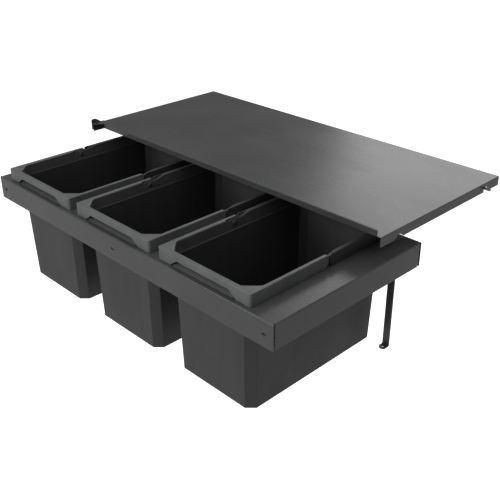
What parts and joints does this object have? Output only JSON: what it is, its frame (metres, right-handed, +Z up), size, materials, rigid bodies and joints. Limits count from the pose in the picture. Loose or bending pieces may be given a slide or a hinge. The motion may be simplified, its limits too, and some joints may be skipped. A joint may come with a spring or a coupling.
{
  "type": "pull-out cabinet waste sorter",
  "caption": "Folded steel carrier tray that holds lift-out tapered waste bins with swing-up rim bails, below a sliding folded steel cover; fits inside a kitchen cabinet.",
  "frame": {"origin": "centre of the front skirt's row of three fixing slots, on the skirt's outer face", "axes": "+X to the right along the front, +Y to the back (the way the tray goes into the cabinet), +Z up"},
  "size_m": [0.884, 0.647, 0.3066],
  "materials": {
    "powder_coated_steel": "fine-grained satin anthracite powder coat",
    "dark_coated_steel": "satin dark grey coating",
    "rivet_steel": "zinc-plated steel, dulled",
    "bin_plastic": "matt moulded polypropylene, fine grain",
    "bail_plastic": "matt moulded polypropylene, fine grain",
    "pivot_plastic": "smooth dark acetal"
  },
  "bodies": {
    "tray": {"carrier_tray": "powder_coated_steel", "left_strap": "dark_coated_steel", "right_strap": "dark_coated_steel", "left_strap_rivets": "rivet_steel", "right_strap_rivets": "rivet_steel"},
    "cover": {"cover_plate": "powder_coated_steel", "cover_left_hook": "powder_coated_steel", "cover_left_tongue": "dark_coated_steel", "cover_right_tongue": "dark_coated_steel"},
    "left_bin_body": {"left_bin": "bin_plastic", "left_bin_left_pivot": "pivot_plastic", "left_bin_right_pivot": "pivot_plastic"},
    "left_bail_body": {"left_bail": "bail_plastic"},
    "middle_bin_body": {"middle_bin": "bin_plastic", "middle_bin_left_pivot": "pivot_plastic", "middle_bin_right_pivot": "pivot_plastic"},
    "middle_bail_body": {"middle_bail": "bail_plastic"},
    "right_bin_body": {"right_bin": "bin_plastic", "right_bin_left_pivot": "pivot_plastic", "right_bin_right_pivot": "pivot_plastic"},
    "right_bail_body": {"right_bail": "bail_plastic"}
  },
  "joints": [
    {"name": "cover_slide", "type": "slide", "parent": "tray", "child": "cover", "axis": [0, 1, 0], "range_m": [-0.256, 0.14]},
    {"name": "left_bin_lift", "type": "slide", "parent": "tray", "child": "left_bin_body", "axis": [0, 0, 1], "range_m": [0, 0.022]},
    {"name": "left_bail_swing", "type": "hinge", "parent": "left_bin_body", "child": "left_bail_body", "pos_m": [-0.27545, 0.1872, 0.03915], "axis": [-1, 0, 0], "range_deg": [0, 90]},
    {"name": "middle_bin_lift", "type": "slide", "parent": "tray", "child": "middle_bin_body", "axis": [0, 0, 1], "range_m": [0, 0.022]},
    {"name": "middle_bail_swing", "type": "hinge", "parent": "middle_bin_body", "child": "middle_bail_body", "pos_m": [-0.01345, 0.1872, 0.03915], "axis": [-1, 0, 0], "range_deg": [0, 90]},
    {"name": "right_bin_lift", "type": "slide", "parent": "tray", "child": "right_bin_body", "axis": [0, 0, 1], "range_m": [0, 0.022]},
    {"name": "right_bail_swing", "type": "hinge", "parent": "right_bin_body", "child": "right_bail_body", "pos_m": [0.24855, 0.1872, 0.03915], "axis": [-1, 0, 0], "range_deg": [0, 90]}
  ]
}
